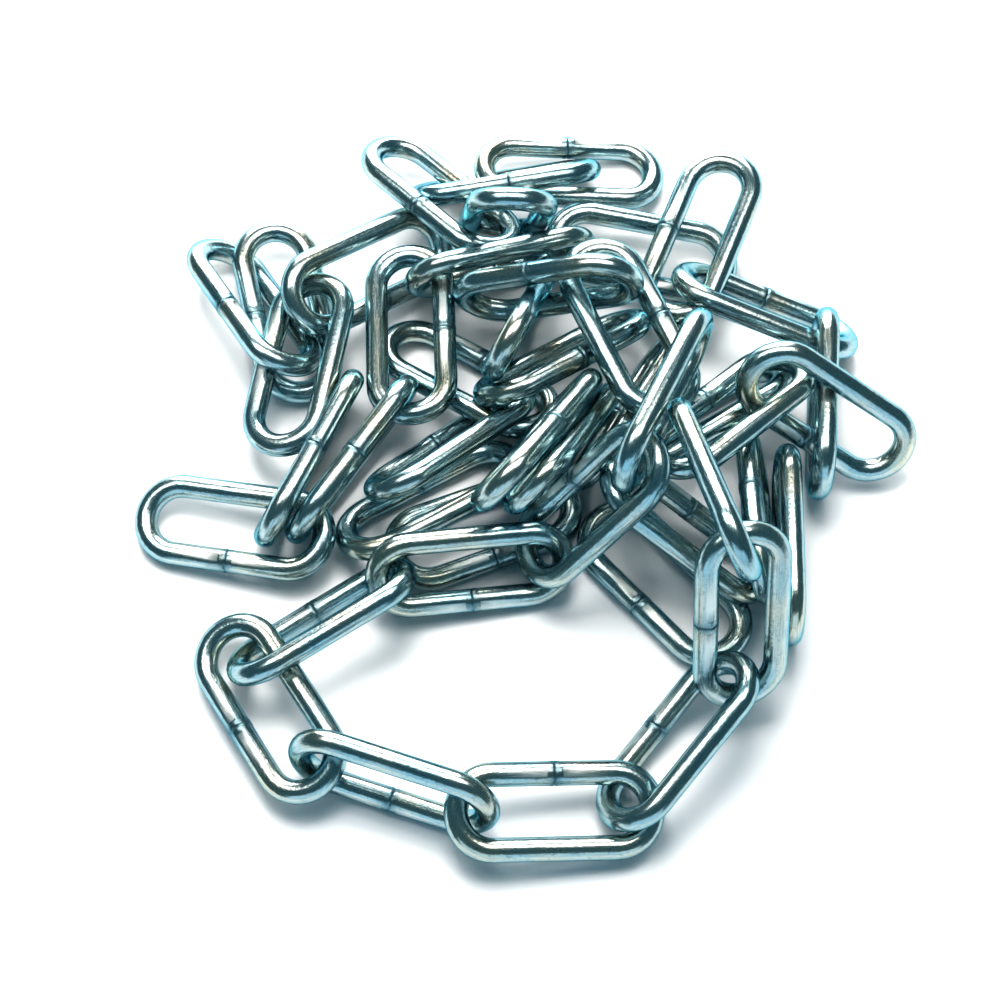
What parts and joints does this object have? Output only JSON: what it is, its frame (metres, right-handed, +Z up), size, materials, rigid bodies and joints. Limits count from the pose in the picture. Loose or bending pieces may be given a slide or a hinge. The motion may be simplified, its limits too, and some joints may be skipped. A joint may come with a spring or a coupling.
{
  "type": "heap of steel chain",
  "caption": "Loose heap of bright-zinc long-link welded steel chain, lying as dropped on a level floor.",
  "frame": {"origin": "centre of the heap's box, at its lowest point, which stands on the floor", "axes": "+Z up from the floor, -Y towards the side that the picture was taken from, +X to the right as seen from there"},
  "size_m": [0.1692, 0.174, 0.0539],
  "materials": {
    "bright_zinc": "bright blue-passivated zinc plating, glossy"
  },
  "bodies": {
    "root": {"link_back_1": "bright_zinc", "link_back_2": "bright_zinc", "link_back_3": "bright_zinc", "link_back_4": "bright_zinc", "link_back_5": "bright_zinc", "link_corner_1": "bright_zinc", "link_corner_2": "bright_zinc", "link_corner_3": "bright_zinc", "link_corner_4": "bright_zinc", "link_crest_1": "bright_zinc", "link_crest_10": "bright_zinc", "link_crest_2": "bright_zinc", "link_crest_3": "bright_zinc", "link_crest_4": "bright_zinc", "link_crest_5": "bright_zinc", "link_crest_6": "bright_zinc", "link_crest_7": "bright_zinc", "link_crest_8": "bright_zinc", "link_crest_9": "bright_zinc", "link_front_1": "bright_zinc", "link_front_2": "bright_zinc", "link_front_3": "bright_zinc", "link_front_4": "bright_zinc", "link_front_5": "bright_zinc", "link_front_6": "bright_zinc", "link_front_7": "bright_zinc", "link_left_1": "bright_zinc", "link_left_2": "bright_zinc", "link_left_3": "bright_zinc", "link_left_4": "bright_zinc", "link_low_1": "bright_zinc", "link_low_10": "bright_zinc", "link_low_2": "bright_zinc", "link_low_3": "bright_zinc", "link_low_4": "bright_zinc", "link_low_5": "bright_zinc", "link_low_6": "bright_zinc", "link_low_7": "bright_zinc", "link_low_8": "bright_zinc", "link_low_9": "bright_zinc", "link_right_1": "bright_zinc", "link_right_2": "bright_zinc", "link_right_3": "bright_zinc", "link_right_4": "bright_zinc", "link_right_5": "bright_zinc"}
  },
  "joints": []
}
